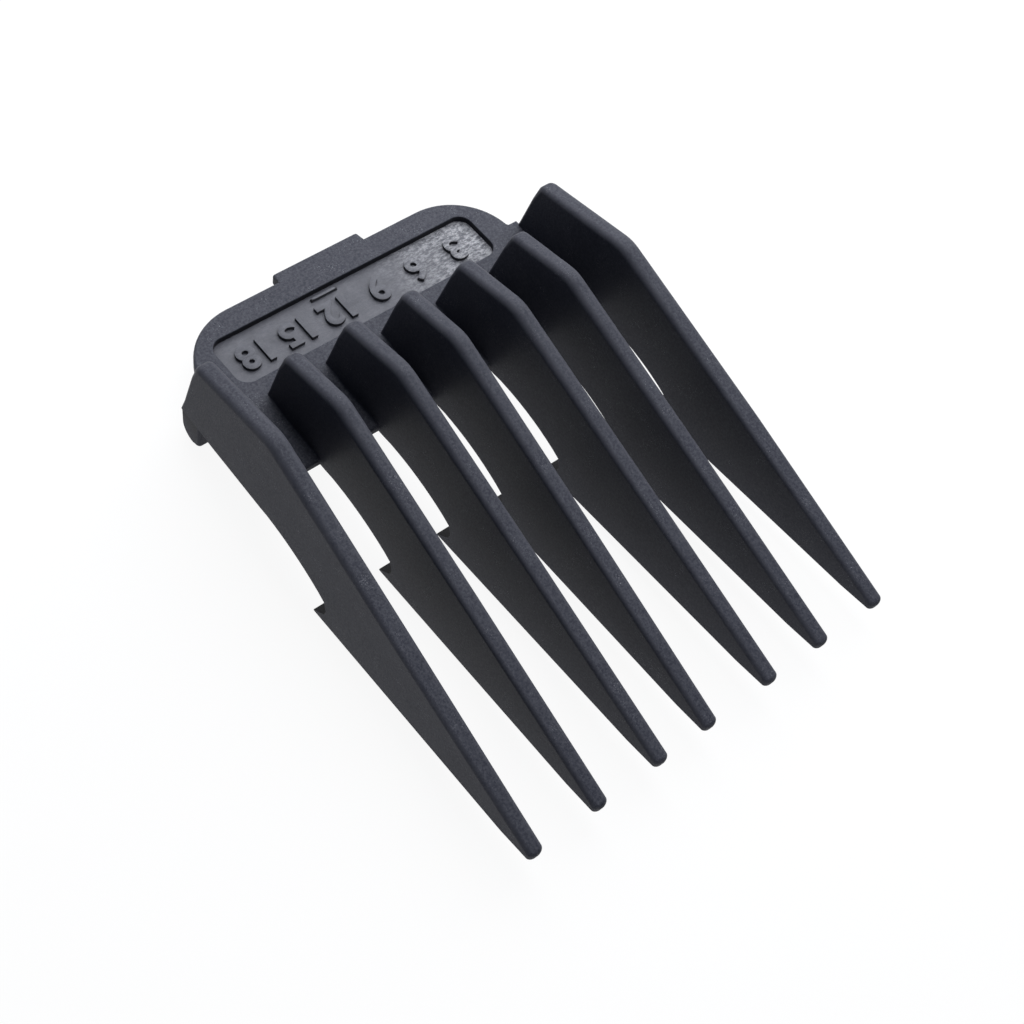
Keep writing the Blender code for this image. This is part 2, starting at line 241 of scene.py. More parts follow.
def comb_placement():
    """From the comb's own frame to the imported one."""
    joint = next(j for j in frame["joints"] if j["name"] == "heel_flex")
    seat = next(m for m in frame["record"]["mounts"] if m["name"] == "blade_seat_right")
    tilt = atan2(seat["axis"][1], -seat["axis"][2])
    return (Matrix.Translation(joint["pos_m"]) @ Matrix.Rotation(tilt, 4, "X")
            @ Matrix.Translation(-FLEX_AXIS))


COMB = comb_placement()


# --- outlines ------------------------------------------------------------------------

def rounded_outline(corners):
    """Points and values round a closed outline of (point, corner radius, value).

    The value is the rounding of the solid's edge at that corner, or a share of it.
    """
    points, values = [], []
    for index, (corner, radius, value) in enumerate(corners):
        here = Vector(corner)
        before = (Vector(corners[index - 1][0]) - here).normalized()
        after = (Vector(corners[(index + 1) % len(corners)][0]) - here).normalized()
        if radius == 0:
            points.append(here)
            values.append(value)
            continue
        half_angle = before.angle(after) / 2
        reach = radius / tan(half_angle)
        centre = here + (before + after).normalized() * (radius / sin(half_angle))
        start = here + before * reach - centre
        end = here + after * reach - centre
        sweep = start.angle(end)
        steps = max(3, ceil(sweep / ARC_STEP))
        for step in range(steps + 1):
            share = step / steps
            blend = (start * sin((1 - share) * sweep) + end * sin(share * sweep)) / sin(sweep)
            points.append(centre + blend)
            values.append(value)
    return points, values


def inward_vectors(outline):
    """For each point of a closed outline, the step that moves its edges one unit inwards."""
    following = outline[1:] + outline[:1]
    preceding = outline[-1:] + outline[:-1]
    area = sum(a.x * b.y - b.x * a.y for a, b in zip(outline, following))
    turn = 1 if area > 0 else -1
    vectors = []
    for before, here, after in zip(preceding, outline, following):
        arriving = (here - before).normalized()
        leaving = (after - here).normalized()
        first = Vector((-arriving.y, arriving.x)) * turn
        second = Vector((-leaving.y, leaving.x)) * turn
        middle = (first + second).normalized()
        vectors.append(middle / max(0.5, middle.dot(first)))
    return vectors


# --- meshes ----------------------------------------------------------------------------

def ring(builder, points, z):
    return [builder.verts.new((x, y, z)) for x, y in points]


def join_rings(builder, low, high):
    for index in range(len(low)):
        after = (index + 1) % len(low)
        builder.faces.new((low[index], low[after], high[after], high[index]))


def solid_from_loops(loops, wear_and_painted_shade):
    """A closed solid through loops of equally many points, with each point's value of
    edge_wear_and_painted_shade: paler worn edges above 0 and painted shade below 0.
    """
    builder = bmesh.new()
    painted_light_and_wear = builder.verts.layers.float.new("edge_wear_and_painted_shade")
    rows = []
    for loop, loop_wear_and_painted_shade in zip(loops, wear_and_painted_shade):
        row = []
        for point, amount in zip(loop, loop_wear_and_painted_shade):
            vert = builder.verts.new(point)
            vert[painted_light_and_wear] = amount
            row.append(vert)
        rows.append(row)
    for low, high in zip(rows, rows[1:]):
        join_rings(builder, low, high)
    builder.faces.new(reversed(rows[0]))
    builder.faces.new(rows[-1])
    return builder


def finish_piece(name, builder, material):
    """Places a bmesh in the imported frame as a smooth-shaded piece."""
    bmesh.ops.remove_doubles(builder, verts=builder.verts, dist=MERGE_DISTANCE)
    bmesh.ops.dissolve_degenerate(builder, edges=builder.edges, dist=SLIVER_SIZE)
    bmesh.ops.recalc_face_normals(builder, faces=builder.faces)
    mesh = bpy.data.meshes.new(name)
    builder.to_mesh(mesh)
    builder.free()
    mesh.transform(COMB)
    mesh.shade_smooth()
    mesh.set_sharp_from_angle(angle=SHARP_ANGLE)
    piece = bpy.data.objects.new(name, mesh)
    bpy.context.scene.collection.objects.link(piece)
    mesh.materials.append(material)
    normals = piece.modifiers.new("even_normals", "WEIGHTED_NORMAL")
    normals.keep_sharp = True
    return piece


# --- materials --------------------------------------------------------------------------

class Shader:
    """A small helper round one material's node tree."""

    def __init__(self, name):
        self.material = bpy.data.materials.new(name)
        self.material.use_nodes = True
        self.tree = self.material.node_tree
        self.surface = self.tree.nodes["Principled BSDF"]
        self.place = self.add("ShaderNodeTexCoord").outputs["Object"]

    def add(self, kind, **settings):
        node = self.tree.nodes.new(kind)
        for key, value in settings.items():
            setattr(node, key, value)
        return node

    def link(self, source, target):
        self.tree.links.new(source, target)

    def noise(self, size, detail=2.0, roughness=0.5, place=None):
        """Noise whose blotches are about size metres wide."""
        node = self.add("ShaderNodeTexNoise")
        node.inputs["Scale"].default_value = 1 / size
        node.inputs["Detail"].default_value = detail
        node.inputs["Roughness"].default_value = roughness
        self.link(place or self.place, node.inputs["Vector"])
        return node.outputs["Fac"]

    def spread(self, value, low, high, from_low=0.3, from_high=0.7):
        """Stretches a value to the range from low to high."""
        node = self.add("ShaderNodeMapRange")
        node.inputs["From Min"].default_value = from_low
        node.inputs["From Max"].default_value = from_high
        node.inputs["To Min"].default_value = low
        node.inputs["To Max"].default_value = high
        self.link(value, node.inputs["Value"])
        return node.outputs["Result"]

    def combine(self, operation, first, second):
        node = self.add("ShaderNodeMath", operation=operation)
        for socket, value in zip(node.inputs, (first, second)):
            if isinstance(value, float):
                socket.default_value = value
            else:
                self.link(value, socket)
        return node.outputs["Value"]

    def mix_colour(self, share, first, second):
        """Mixes two colours. A Mix node's colour sockets share their names, so numbers find them."""
        node = self.add("ShaderNodeMix", data_type="RGBA")
        self.link(share, node.inputs["Factor"])
        for socket, value in ((node.inputs[6], first), (node.inputs[7], second)):
            if isinstance(value, tuple):
                socket.default_value = (*value, 1.0)
            else:
                self.link(value, socket)
        return node.outputs[2]

    def attribute(self, name):
        return self.add("ShaderNodeAttribute", attribute_name=name).outputs["Fac"]

    def facing(self, axis):
        """How far the surface faces along an axis, from -1 to 1."""
        parts = self.add("ShaderNodeSeparateXYZ")
        self.link(self.add("ShaderNodeNewGeometry").outputs["Normal"], parts.inputs["Vector"])
        return parts.outputs[axis]

    def bump(self, height, distance, strength, below=None):
        node = self.add("ShaderNodeBump")
        node.inputs["Distance"].default_value = distance
        node.inputs["Strength"].default_value = strength
        self.link(height, node.inputs["Height"])
        if below is not None:
            self.link(below, node.inputs["Normal"])
        return node.outputs["Normal"]


def charcoal_plastic():
    """Matt moulded plastic with a fine mottled grain and painted glints.

    The pale mottling is weaker on faces that look along X, so the teeth's side faces are painted
    darker as painted shade. Worn edges are paler; hollows and creases are painted darker as painted
    shade.
    """
    shader = Shader("charcoal_plastic")
    clouds = shader.spread(shader.noise(4.0 * MM, detail=3.0), low=0.0, high=1.0)
    grain = shader.noise(0.16 * MM, detail=3.0, roughness=0.6)
    wear_and_painted_shade = shader.attribute("edge_wear_and_painted_shade")
    patches = shader.spread(shader.noise(1.2 * MM, detail=4.0), low=0.3, high=1.0)
    polished = shader.combine("MULTIPLY", shader.combine("MAXIMUM", wear_and_painted_shade, 0.0), patches)
    # painted shade: values below 0 darken hollows, creases and the recess's lower walls
    painted_hollow_shade = shader.combine("MULTIPLY", shader.combine("MINIMUM", wear_and_painted_shade, 0.0), -1.0)
    cloudy = shader.mix_colour(clouds, CHARCOAL, CHARCOAL_CLOUD)
    mottling = shader.spread(shader.noise(0.26 * MM, detail=3.0, roughness=0.7),
                             low=0.0, high=1.0, from_low=0.38, from_high=0.66)
    # painted shade: the real pale grain is weaker on faces that look along X, so the teeth's side
    # faces are darker
    sideways = shader.combine("ABSOLUTE", shader.facing("X"), 0.0)
    mottle_share_painted_side_shade = shader.spread(sideways, low=0.64, high=0.42, from_low=0.5, from_high=0.95)
    mottle_with_painted_side_shade = shader.combine("MULTIPLY", mottling, mottle_share_painted_side_shade)
    mottled_with_painted_side_shade = shader.mix_colour(mottle_with_painted_side_shade, cloudy, CHARCOAL_MOTTLE)
    # painted glints: sparse bright specks in the base colour stand in for glints of light
    painted_glint_specks = shader.spread(shader.noise(0.11 * MM, detail=1.0),
                           low=0.0, high=1.0, from_low=0.64, from_high=0.74)
    painted_glint_patches = shader.spread(shader.noise(2.6 * MM, detail=2.0),
                                  low=0.0, high=1.0, from_low=0.50, from_high=0.66)
    with_painted_glints = shader.mix_colour(shader.combine("MULTIPLY", painted_glint_specks, painted_glint_patches),
                                 mottled_with_painted_side_shade, CHARCOAL_PAINTED_GLINT)
    worn = shader.mix_colour(polished, with_painted_glints, CHARCOAL_WORN)
    shaded = shader.mix_colour(painted_hollow_shade, worn, CHARCOAL_PAINTED_SHADE)
    shader.link(shaded, shader.surface.inputs["Base Color"])
    matt = shader.spread(grain, low=0.44, high=0.56)
    smoother = shader.combine("MULTIPLY", polished, -0.06)
    shader.link(shader.combine("ADD", matt, smoother), shader.surface.inputs["Roughness"])
    waves = shader.bump(shader.noise(0.9 * MM, detail=2.0), distance=0.02 * MM, strength=0.12)
    relief = shader.bump(grain, distance=0.012 * MM, strength=0.5, below=waves)
    shader.link(relief, shader.surface.inputs["Normal"])
    shader.surface.inputs["Specular IOR Level"].default_value = 0.065
    return shader.material


def sparked_plastic():
    """The label recess and its marking: the same plastic with a coarse spark-eroded grain.

    Streaks towards tooth 7 are a painted highlight.
    The flanks of the raised marking are painted darker as painted shade.
    """
    shader = Shader("sparked_plastic")
    clouds = shader.spread(shader.noise(2.4 * MM, detail=6.0, roughness=0.65), low=0.0, high=1.0)
    grain = shader.noise(0.2 * MM, detail=3.0, roughness=0.65)
    cloudy = shader.mix_colour(clouds, SPARKED, SPARKED_CLOUD)
    # painted highlight: pale streaks towards tooth 7 stand in for light on the recess floor
    across = shader.add("ShaderNodeSeparateXYZ")
    shader.link(shader.place, across.inputs["Vector"])
    far_end = shader.spread(across.outputs["X"],
                            low=1.0, high=0.06, from_low=-16.0 * MM, from_high=-3.0 * MM)
    stretched = shader.add("ShaderNodeMapping")
    stretched.inputs["Scale"].default_value = (0.5, 1.0, 1.0)
    shader.link(shader.place, stretched.inputs["Vector"])
    streaks = shader.noise(0.3 * MM, detail=5.0, roughness=0.75, place=stretched.outputs["Vector"])
    painted_highlight_streaks = shader.spread(streaks, low=0.0, high=1.0, from_low=0.42, from_high=0.62)
    painted_highlight_clouds = shader.spread(clouds, low=0.35, high=1.0, from_low=0.0, from_high=1.0)
    painted_light_and_wear = shader.combine("MULTIPLY", far_end, shader.combine("MULTIPLY", painted_highlight_streaks, painted_highlight_clouds))
    pale = shader.mix_colour(painted_light_and_wear, cloudy, SPARKED_PAINTED_HIGHLIGHT)
    # painted shade: faces that don't look up, such as the marking's flanks, are painted darker
    painted_flank_shade = shader.spread(shader.facing("Z"), low=1.0, high=0.0, from_low=0.55, from_high=0.9)
    shaded = shader.mix_colour(painted_flank_shade, pale, SPARKED_PAINTED_FLANK_SHADE)
    shader.link(shaded, shader.surface.inputs["Base Color"])
    shader.link(shader.spread(grain, low=0.36, high=0.60), shader.surface.inputs["Roughness"])
    waves = shader.bump(shader.noise(0.6 * MM, detail=3.0), distance=0.05 * MM, strength=0.4)
    relief = shader.bump(grain, distance=0.03 * MM, strength=0.6, below=waves)
    shader.link(relief, shader.surface.inputs["Normal"])
    shader.surface.inputs["Specular IOR Level"].default_value = 0.2
    return shader.material


COMB_PLASTIC = charcoal_plastic()
PANEL_PLASTIC = sparked_plastic()


# --- teeth --------------------------------------------------------------------------------

def along(y):
    """0 at the outer teeth's heel and 1 at the tips."""
    return (y - OUTER_HEEL) / (TIP_TOP[0] - OUTER_HEEL)


def tooth_centre(place, y, z):
    """Middle of a tooth in X. place is 3 for tooth 1 and -3 for tooth 7."""
    centre = place * (HEEL_PITCH + (TIP_PITCH - HEEL_PITCH) * along(y))
    centre += TIP_SET.get(place, 0.0) * along(y)
    if abs(place) == OUTER_TOOTH:
        height = (z - SEAT_Z) / (TOOTH_BEND[1] - SEAT_Z)
        centre += (OUTER_EXTRA - OUTER_LEAN * height) * place / OUTER_TOOTH
    return centre


def half_thickness(y):
    """Half of a tooth's width, which tapers evenly and then runs round the tip."""
    past = min(TIP_ROUND, max(0.0, y - (TIP_TOP[0] - TIP_ROUND)))
    rounding = TIP_ROUND - sqrt(TIP_ROUND ** 2 - past ** 2)
    width = ROOT_THICKNESS + (TIP_THICKNESS - ROOT_THICKNESS) * along(y)
    return width / 2 - TIP_NARROWING * rounding


def tooth_side(place, side, y, z):
    """X of a tooth's side face; side is 1 for the face towards +X and -1 for the other."""
    bow = {OUTER_TOOTH: OUTER_BOW, -OUTER_TOOTH: -INNER_BOW}.get(place * side, 0.0)
    bulge = bow * 4 * along(y) * (1 - along(y))
    return tooth_centre(place, y, z) + side * (half_thickness(y) + bulge)


def seat_drop(y):
    """Height of a tooth's underside in front of the flat seat."""
    run = max(0.0, y - SEAT_FRONT)
    return SEAT_Z - SEAT_DROP_RADIUS + sqrt(SEAT_DROP_RADIUS ** 2 - run ** 2)


def in_notch(y, z):
    """Whether a point of a tooth's side view lies in the notch above its hook."""
    return z < NOTCH_ROOF[1] and HOOK_TIP[0] < y < HOOK_HOLLOW[0]


def between(start, end, share):
    return tuple(a + (b - a) * share for a, b in zip(start, end))


def tooth_corners(heel, heel_top):
    """Side view of a tooth, as (point, corner radius, edge radius)."""
    foot = (heel, SEAT_Z + FOOT_RISE)
    low, high = HEEL_EDGE_SPAN
    corners = [
        (foot, 0, SEAT_EDGE),
        (between(foot, heel_top, low), 0, HEEL_EDGE),
        (between(foot, heel_top, high), 0, HEEL_EDGE),
        (heel_top, HEEL_TOP_RADIUS, HEEL_TOP_EDGE),
        (TOOTH_BEND, BEND_RADIUS, BEND_EDGE),
        (between(TOOTH_BEND, TIP_TOP, TAPER_END), 0, TIP_EDGE),
        (TIP_TOP, TIP_TOP_RADIUS, TIP_EDGE),
        (TIP_BOTTOM, TIP_BOTTOM_RADIUS, TIP_BOTTOM_EDGE),
        (between(TIP_BOTTOM, HOOK_TIP, BELLY_START), 0, SEAT_EDGE),
        (HOOK_TIP, HOOK_TIP_RADIUS, NOTCH_EDGE),
        (HOOK_HOLLOW, HOOK_HOLLOW_RADIUS, NOTCH_EDGE),
        (NOTCH_ROOF, NOTCH_RADIUS, NOTCH_EDGE),
    ]
    for station in range(DROP_STATIONS - 1, 0, -1):
        y = SEAT_FRONT + (NOTCH_ROOF[0] - SEAT_FRONT) * station / DROP_STATIONS
        corners.append(((y, seat_drop(y)), 0, SEAT_EDGE))
    corners += [
        ((SEAT_FRONT, SEAT_Z), 0, CRISP),
        ((PLATE_JOIN + FOOT_RISE, SEAT_Z), 0, CRISP),
        ((PLATE_JOIN, SEAT_Z + FOOT_RISE), 0, CRISP),
    ]
    return corners


def add_tooth(number):
    place = MIDDLE_TOOTH - number
    outer = abs(place) == OUTER_TOOTH
    heel = OUTER_HEEL if outer else INNER_HEEL
    heel_top = OUTER_HEEL_TOP if outer else INNER_HEEL_TOP
    points, edge_radii = rounded_outline(tooth_corners(heel, heel_top))
    inward = inward_vectors(points)
    loops, wear_and_painted_shade = [], []
    for side, angles in SIDES:
        for angle in angles:
            on_side_face = angle == QUARTER[-1]
            loop, loop_wear_and_painted_shade = [], []
            for point, radius, step in zip(points, edge_radii, inward):
                y, z = point + step * radius * (1 - cos(angle))
                x = tooth_side(place, side, y, z) - side * radius * (1 - sin(angle))
                loop.append((x, y, z))
                # painted shade: the notch's hollow gets -1, which the plastic paints darker
                if in_notch(*point) and radius < SEAT_EDGE and not on_side_face:
                    loop_wear_and_painted_shade.append(-1.0)
                else:
                    loop_wear_and_painted_shade.append(sin(2 * angle) * min(1.0, radius / TIP_EDGE))
            loops.append(loop)
            wear_and_painted_shade.append(loop_wear_and_painted_shade)
    piece = finish_piece(f"tooth_{number}_skin", solid_from_loops(loops, wear_and_painted_shade), COMB_PLASTIC)
    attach(piece, "comb")
    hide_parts(f"tooth_{number}")


# --- bridges ------------------------------------------------------------------------------

def add_bridge(number):
    """The web between two teeth, with a small fillet up each tooth's side."""
    near = MIDDLE_TOOTH - number
    far = near - 1
    corners = [
        ((PLATE_JOIN, SEAT_Z), 0, 0.0),
        ((PLATE_JOIN, PLATE_TOP), 0, 0.0),
        ((BRIDGE_RAMP[0], PLATE_TOP), BRIDGE_RAMP_RADIUS, 1.0),
        ((BRIDGE_RAMP[1], BRIDGE_TOP), BRIDGE_RAMP_RADIUS, 1.0),
        ((BRIDGE_FRONT, BRIDGE_TOP - BRIDGE_FALL), BRIDGE_FRONT_RADIUS, 1.0),
        ((BRIDGE_FRONT, SEAT_Z), BRIDGE_SEAT_RADIUS, 0.0),
    ]
    points, filleted = rounded_outline(corners)
    inward = inward_vectors(points)
    stations = [(-EMBED, WEB_FILLET)]    # distance from the tooth's side, and rise there
    stations += [(WEB_FILLET * (1 - cos(a)), WEB_FILLET * (1 - sin(a))) for a in QUARTER]
    loops = []
    for side, tooth, ordered in ((1, far, stations), (-1, near, reversed(stations))):
        for away, rise in ordered:
            loop = []
            for point, share, step in zip(points, filleted, inward):
                y, z = point - step * rise * share
                hidden_foot = away < 0 and z < SEAT_Z + CLOSE
                lift = BRIDGE_FOOT_RISE if hidden_foot else 0.0
                loop.append((tooth_side(tooth, side, y, z) + side * away, y, z + lift))
            loops.append(loop)
    wear_and_painted_shade = [[0.0] * len(points)] * len(loops)
    builder = solid_from_loops(loops, wear_and_painted_shade)
    piece = finish_piece(f"bridge_{number}_{number + 1}_skin", builder, COMB_PLASTIC)
    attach(piece, "comb")
    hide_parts(f"bridge_{number}_{number + 1}")


# --- heel -----------------------------------------------------------------------------------

def plate_outline():
    """The plate's outline, counter-clockwise, with the rounding of its edge at each point."""
    reach = tooth_side(OUTER_TOOTH, -1, OUTER_HEEL, PLATE_TOP) + EMBED
    centre = Vector((PLATE_HALF_WIDTH - PLATE_CORNER, PLATE_CORNER))
    right = [
        (Vector((TAB_HALF_WIDTH, 0.0)), 0.0),
        (Vector((TAB_HALF_WIDTH + TAB_JOIN, 0.0)), PLATE_EDGE),
    ]
    for angle in CORNER_ARC:
        point = centre + Vector((sin(angle), -cos(angle))) * PLATE_CORNER
        if point.y < WEB_REAR - WEB_CORNER:
            right.append((point, PLATE_EDGE))
    for out, forward, share in WEB_CORNER_POINTS:
        point = Vector((PLATE_HALF_WIDTH + out, WEB_REAR + forward))
        right.append((point, share * PLATE_EDGE))
    right += [
        (Vector((reach, WEB_REAR)), 0.5 * PLATE_EDGE),
        (Vector((reach, PLATE_JOIN)), 0.0),
    ]
    points, radii = [], []
    for mirror, half in ((1, right), (-1, reversed(right))):
        for point, radius in half:
            at_tab = point.x < TAB_HALF_WIDTH + 2 * TAB_JOIN
            shift = Vector((TAB_CENTRE if at_tab else 0.0, 0.0))
            points.append(Vector((mirror * point.x, point.y)) + shift)
            radii.append(radius)
    return points, radii


def panel_outline(extra):
    """The label recess, widened by extra, counter-clockwise."""
    half, rear, front = PANEL_HALF_WIDTH + extra, PANEL_REAR - extra, PANEL_FRONT + extra
    radius = PANEL_CORNER + extra
    points, _ = rounded_outline([
        ((half, rear), radius, 0), ((half, front), radius, 0),
        ((-half, front), radius, 0), ((-half, rear), radius, 0),
    ])
    return points


def add_heel_plate():
    """The plate's skin: rounded edges, the label recess, and webs to the outer teeth."""
    builder = bmesh.new()
    painted_light_and_wear = builder.verts.layers.float.new("edge_wear_and_painted_shade")
    points, radii = plate_outline()
    inward = inward_vectors(points)
    rings = []
    for share, base, up, angles in ((UNDER_EDGE_SHARE, SEAT_Z, 1, QUARTER[::-1]),
                                    (1.0, PLATE_TOP, -1, QUARTER)):
        for angle in angles:
            verts = []
            for point, radius, step in zip(points, radii, inward):
                edge = radius * share
                x, y = point + step * edge * (1 - cos(angle))
                vert = builder.verts.new((x, y, base + up * edge * (1 - sin(angle))))
                vert[painted_light_and_wear] = sin(2 * angle) * share if radius > 0 else 0.0
                verts.append(vert)
            rings.append(verts)
    for low, high in zip(rings, rings[1:]):
        join_rings(builder, low, high)
    builder.faces.new(reversed(rings[0]))
    recess = []
    for angle in QUARTER:
        outline = panel_outline(RECESS_EDGE * (1 - sin(angle)))
        recess.append(ring(builder, outline, PLATE_TOP - RECESS_EDGE * (1 - cos(angle))))
    recess.append(ring(builder, panel_outline(0.0), PLATE_TOP - PANEL_DEPTH - RECESS_OVERLAP))
    # painted shade: the recess's lower walls get values below 0, which the plastic paints darker
    for verts, amount in zip(recess, RECESS_WEAR_AND_PAINTED_SHADE):
        for vert in verts:
            vert[painted_light_and_wear] = amount
    for low, high in zip(recess, recess[1:]):
        join_rings(builder, low, high)
    builder.faces.new(recess[-1])
    top_edges = []
    for loop in (rings[-1], recess[0]):
        for index, vert in enumerate(loop):
            top_edges.append(builder.edges.get((vert, loop[(index + 1) % len(loop)])))
    bmesh.ops.triangle_fill(builder, use_beauty=True, use_dissolve=False, edges=top_edges)
    for cut in range(FLEX_CUTS):
        cut_y = FLEX_REAR + (FLEX_FRONT - FLEX_REAR) * cut / (FLEX_CUTS - 1)
        everything = builder.verts[:] + builder.edges[:] + builder.faces[:]
        bmesh.ops.bisect_plane(builder, geom=everything,
                               plane_co=(0, cut_y, 0), plane_no=(0, 1, 0))
    piece = finish_piece("heel_plate_skin", builder, COMB_PLASTIC)
    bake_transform(piece)
    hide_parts("heel_plate")


def add_label_panel():
    """The recess's rough floor."""
    builder = bmesh.new()
    top = PLATE_TOP - PANEL_DEPTH
    outline = panel_outline(PANEL_OVERLAP)
    low = ring(builder, outline, top - PANEL_THICKNESS)
    high = ring(builder, outline, top)
    join_rings(builder, low, high)
    builder.faces.new(reversed(low))
    builder.faces.new(high)
    piece = finish_piece("label_panel_skin", builder, PANEL_PLASTIC)
    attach(piece, "heel")
    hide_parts("label_panel")


def add_release_tab():
    """The thumb ledge; its two ends are rounded, and its root keeps the plate's full height."""
    points, _ = rounded_outline([
        ((0.0, SEAT_Z), 0, 0), ((0.0, PLATE_TOP), 0, 0),
        ((-TAB_REACH, PLATE_TOP), TAB_CORNER, 0), ((-TAB_REACH, SEAT_Z), TAB_CORNER, 0),
    ])
    inward = [Vector((max(0.0, step.x), step.y if point.x < -TAB_JOIN else 0.0))
              for point, step in zip(points, inward_vectors(points))]
    loops, wear_and_painted_shade = [], []
    for side, angles in SIDES:
        for angle in angles:
            x = TAB_CENTRE + side * (TAB_HALF_WIDTH - TAB_END_RADIUS * (1 - sin(angle)))
            loop = []
            for point, step in zip(points, inward):
                y, z = point + step * TAB_END_RADIUS * (1 - cos(angle))
                loop.append((x, y, z))
            loops.append(loop)
            wear_and_painted_shade.append([sin(2 * angle)] * len(points))
    piece = finish_piece("release_tab_skin", solid_from_loops(loops, wear_and_painted_shade), COMB_PLASTIC)
    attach(piece, "heel")
    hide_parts("release_tab")


def lip_corners():
    """Side view of the latch lip, a wall that curls forwards under the blade's rear edge."""
    top = SEAT_Z + LIP_OVERLAP
    slot = LIP_REAR + LIP_THICKNESS
    return [
        ((LIP_REAR, top), 0, 0.0),
        ((LIP_REAR, LIP_BOTTOM), LIP_HEEL_RADIUS, 1.0),
        ((LIP_NOSE, LIP_BOTTOM), LIP_NOSE_RADIUS, 1.0),
        ((LIP_NOSE, LIP_SLOT_FLOOR + LIP_NOSE_RISE), LIP_NOSE_TOP_RADIUS, 1.0),
        ((slot, LIP_SLOT_FLOOR), LIP_SLOT_RADIUS, 1.0),
        ((slot, top), 0, 0.0),
    ]


def cheek_corners():
    """Side view of a cheek, which closes an end of the latch lip under an outer tooth."""
    top = SEAT_Z + LIP_OVERLAP
    under_tooth = SEAT_Z - LIP_OVERLAP
    lit = under_tooth - CHEEK_SHADE
    return [
        ((LIP_REAR + 3 * CHEEK_SLANT, top), 0, 0.0),
        ((LIP_REAR + 2 * CHEEK_SLANT, under_tooth), 0, 0.1),
        ((LIP_REAR + CHEEK_SLANT, lit), 0, 0.3),
        ((LIP_REAR, LIP_BOTTOM), LIP_HEEL_RADIUS, 0.5),
        ((LIP_NOSE, LIP_BOTTOM), LIP_NOSE_RADIUS, 1.0),
        ((LIP_NOSE, lit), 0, 1.0),
        ((LIP_NOSE, under_tooth), 0, 1.0),
        ((LIP_NOSE - CHEEK_NOSE_SLANT, top), 0, 0.0),
    ]


def add_lip(node, corners, ends, edges, body):
    """A heel lip between two x places, with the rounding of its two ends."""
    points, weights = rounded_outline(corners)
    inward = inward_vectors(points)
    loops, wear_and_painted_shade = [], []
    for (side, angles), end, edge in zip(SIDES, ends, edges):
        for angle in angles:
            loop, loop_wear_and_painted_shade = [], []
            for point, weight, step in zip(points, weights, inward):
                y, z = point + step * edge * weight * (1 - cos(angle))
                loop.append((end - side * edge * (1 - sin(angle)), y, z))
                # painted shade: points in the crease under the plate and teeth get -1, which the
                # plastic paints darker
                in_crease = point[1] > SEAT_Z - 0.5 * CHEEK_SHADE
                loop_wear_and_painted_shade.append(-1.0 if in_crease else 0.5 * sin(2 * angle))
            loops.append(loop)
            wear_and_painted_shade.append(loop_wear_and_painted_shade)
    piece = finish_piece(f"{node}_skin", solid_from_loops(loops, wear_and_painted_shade), COMB_PLASTIC)
    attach(piece, body)
    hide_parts(node)


def add_lips():
    """The latch lip, which bends with the heel, and the two cheeks, which stay with the teeth."""
    add_lip("latch_lip", lip_corners(), (-LIP_SPLIT, LIP_SPLIT), (0.0, 0.0), "heel")
    add_lip("heel_lip_right", cheek_corners(), (LIP_SPLIT, CHEEK_OUTER), (0.0, CHEEK_EDGE), "comb")
    add_lip("heel_lip_left", cheek_corners(), (-CHEEK_OUTER, -LIP_SPLIT), (CHEEK_EDGE, 0.0), "comb")


# --- marking -----------------------------------------------------------------------------------

def add_numeral(builder, text, x, y):
    """Adds a raised numeral, drawn with Blender's own font, to a bmesh."""
    curve = bpy.data.curves.new("numeral", "FONT")
    curve.body = text
    curve.align_x = "CENTER"
    curve.align_y = "CENTER"
    curve.resolution_u = NUMERAL_CURVE_STEPS
    curve.offset = NUMERAL_BOLDNESS
    curve.extrude = 0.5 * MARK_RISE / NUMERAL_SIZE
    curve.bevel_depth = NUMERAL_BEVEL
    curve.bevel_resolution = 1
    holder = bpy.data.objects.new("numeral", curve)
    bpy.context.scene.collection.objects.link(holder)
    evaluated = holder.evaluated_get(bpy.context.evaluated_depsgraph_get())
    mesh = bpy.data.meshes.new_from_object(evaluated)
    bpy.data.objects.remove(holder, do_unlink=True)
    place = Matrix.Translation((x, y, PLATE_TOP - PANEL_DEPTH + NUMERAL_MIDDLE))
    mesh.transform(place @ Matrix.Scale(NUMERAL_SIZE, 4))
    builder.from_mesh(mesh)
    bpy.data.meshes.remove(mesh)


def add_bar(builder, x, y):
    """Adds a small raised bar with drafted sides to a bmesh.

    As much comes off its length as off its width, so its long edges change places on its top.
    """
    floor = PLATE_TOP - PANEL_DEPTH
    top = floor + BAR_RISE
    levels = ((floor - BAR_OVERLAP, 1.0), (top - BAR_BEVEL, BAR_SHOULDER), (top, BAR_CROWN))
    rings = []
    for z, share in levels:
        half_x = BAR_WIDTH / 2 * share
        half_y = (BAR_LENGTH - BAR_WIDTH * (1 - share)) / 2
        corners = ((1, 1), (-1, 1), (-1, -1), (1, -1))
        outline = [(x + right * half_x, y + ahead * half_y) for right, ahead in corners]
        rings.append(ring(builder, outline, z))
    for low, high in zip(rings, rings[1:]):
        join_rings(builder, low, high)
    builder.faces.new(reversed(rings[0]))
    builder.faces.new(rings[-1])


def add_marking():
    """A plain scale of cutting lengths raised on the recess floor, with a bar at this comb's own."""
    builder = bmesh.new()
    middle = (PANEL_REAR + PANEL_FRONT) / 2
    first = -NUMERAL_PITCH * (len(NUMERALS) - 1) / 2
    for index, text in enumerate(NUMERALS):
        x = first + index * NUMERAL_PITCH
        add_numeral(builder, text, x, middle)
        if text == OWN_NUMERAL:
            add_bar(builder, x, middle - BAR_OFFSET)
    piece = finish_piece("panel_marking", builder, PANEL_PLASTIC)
    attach(piece, "heel")


# --- stage ------------------------------------------------------------------------------------

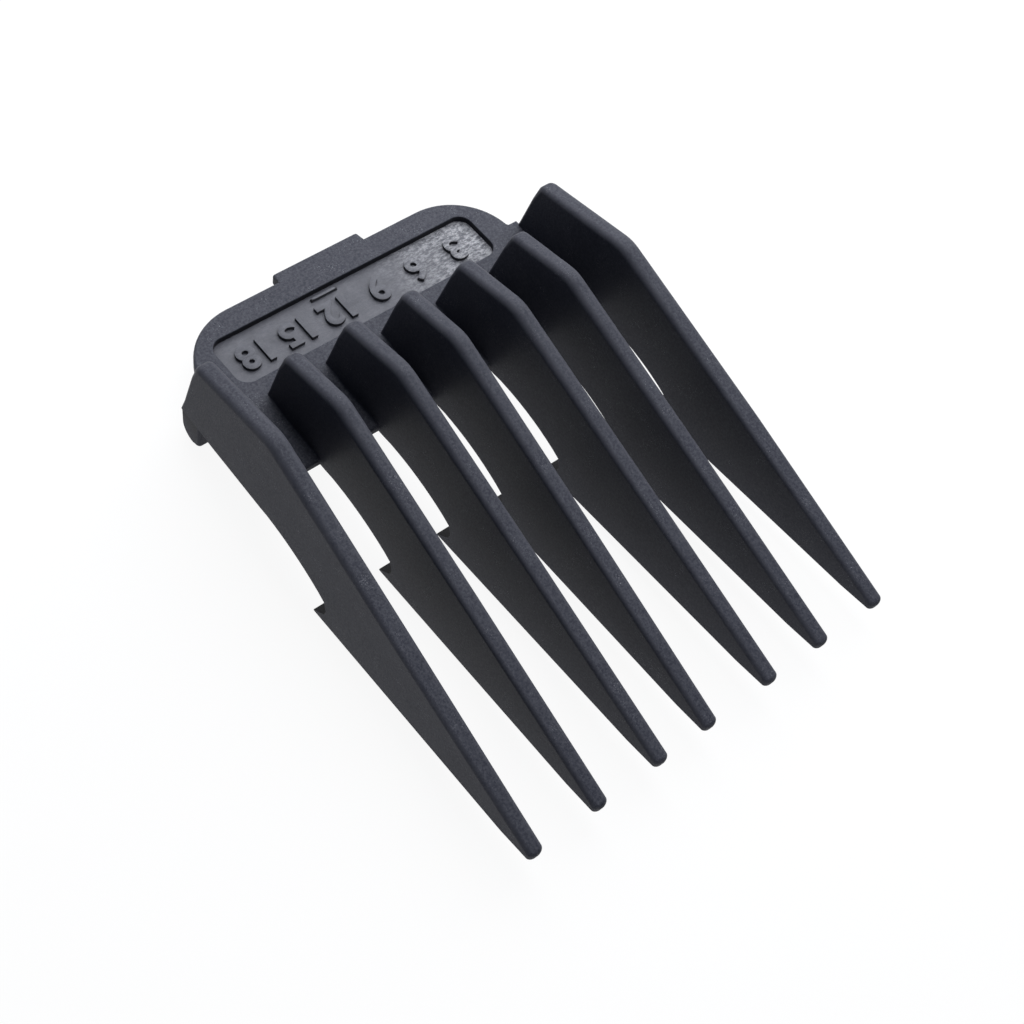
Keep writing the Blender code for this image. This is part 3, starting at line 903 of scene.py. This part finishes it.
def add_floor():
    """A large plain floor, which its own glow makes white."""
    bpy.ops.mesh.primitive_plane_add(size=FLOOR_SIZE, location=(0, 0, -FLOOR_GAP))
    floor = bpy.context.object
    floor.name = "floor"
    material = bpy.data.materials.new("pale_floor")
    material.use_nodes = True
    surface = material.node_tree.nodes["Principled BSDF"]
    surface.inputs["Base Color"].default_value = FLOOR_COLOUR
    surface.inputs["Roughness"].default_value = 0.9
    surface.inputs["Specular IOR Level"].default_value = 0.0
    surface.inputs["Emission Color"].default_value = (1, 1, 1, 1)
    surface.inputs["Emission Strength"].default_value = FLOOR_GLOW
    floor.data.materials.append(material)


def add_softbox(name, place, size, power):
    """A rectangular light that shines straight down."""
    light = bpy.data.lights.new(name, "AREA")
    light.shape = "RECTANGLE"
    light.size, light.size_y = size
    light.energy = power
    light.color = LIGHT_COLOUR
    box = bpy.data.objects.new(name, light)
    bpy.context.scene.collection.objects.link(box)
    box.location = place


def add_lights():
    add_softbox("overhead", OVERHEAD_PLACE, OVERHEAD_SIZE, OVERHEAD_POWER)
    add_softbox("strip", STRIP_PLACE, STRIP_SIZE, STRIP_POWER)
    world = bpy.data.worlds.new("studio")
    bpy.context.scene.world = world
    world.use_nodes = True
    background = world.node_tree.nodes["Background"]
    background.inputs["Color"].default_value = WORLD_COLOUR
    background.inputs["Strength"].default_value = WORLD_STRENGTH


def add_camera():
    """Looks down on the comb from in front of its tips, at the side of tooth 1."""
    camera = bpy.data.objects.new("camera", bpy.data.cameras.new("camera"))
    bpy.context.scene.collection.objects.link(camera)
    camera.data.lens = CAMERA_LENS
    camera.data.sensor_width = CAMERA_SENSOR
    camera.data.clip_start = CAMERA_NEAREST
    turn = (CAMERA_TARGET - CAMERA_PLACE).to_track_quat("-Z", "Y").to_matrix().to_4x4()
    roll = Matrix.Rotation(CAMERA_ROLL, 4, "Z")
    camera.matrix_world = Matrix.Translation(CAMERA_PLACE) @ turn @ roll
    bpy.context.scene.camera = camera
    bpy.context.scene.view_settings.view_transform = "Standard"


# --- assembly -----------------------------------------------------------------------------------

for number in range(1, TEETH + 1):
    add_tooth(number)
for number in range(1, TEETH):
    add_bridge(number)
add_heel_plate()
add_label_panel()
add_release_tab()
add_marking()
add_lips()
add_floor()
add_lights()
add_camera()
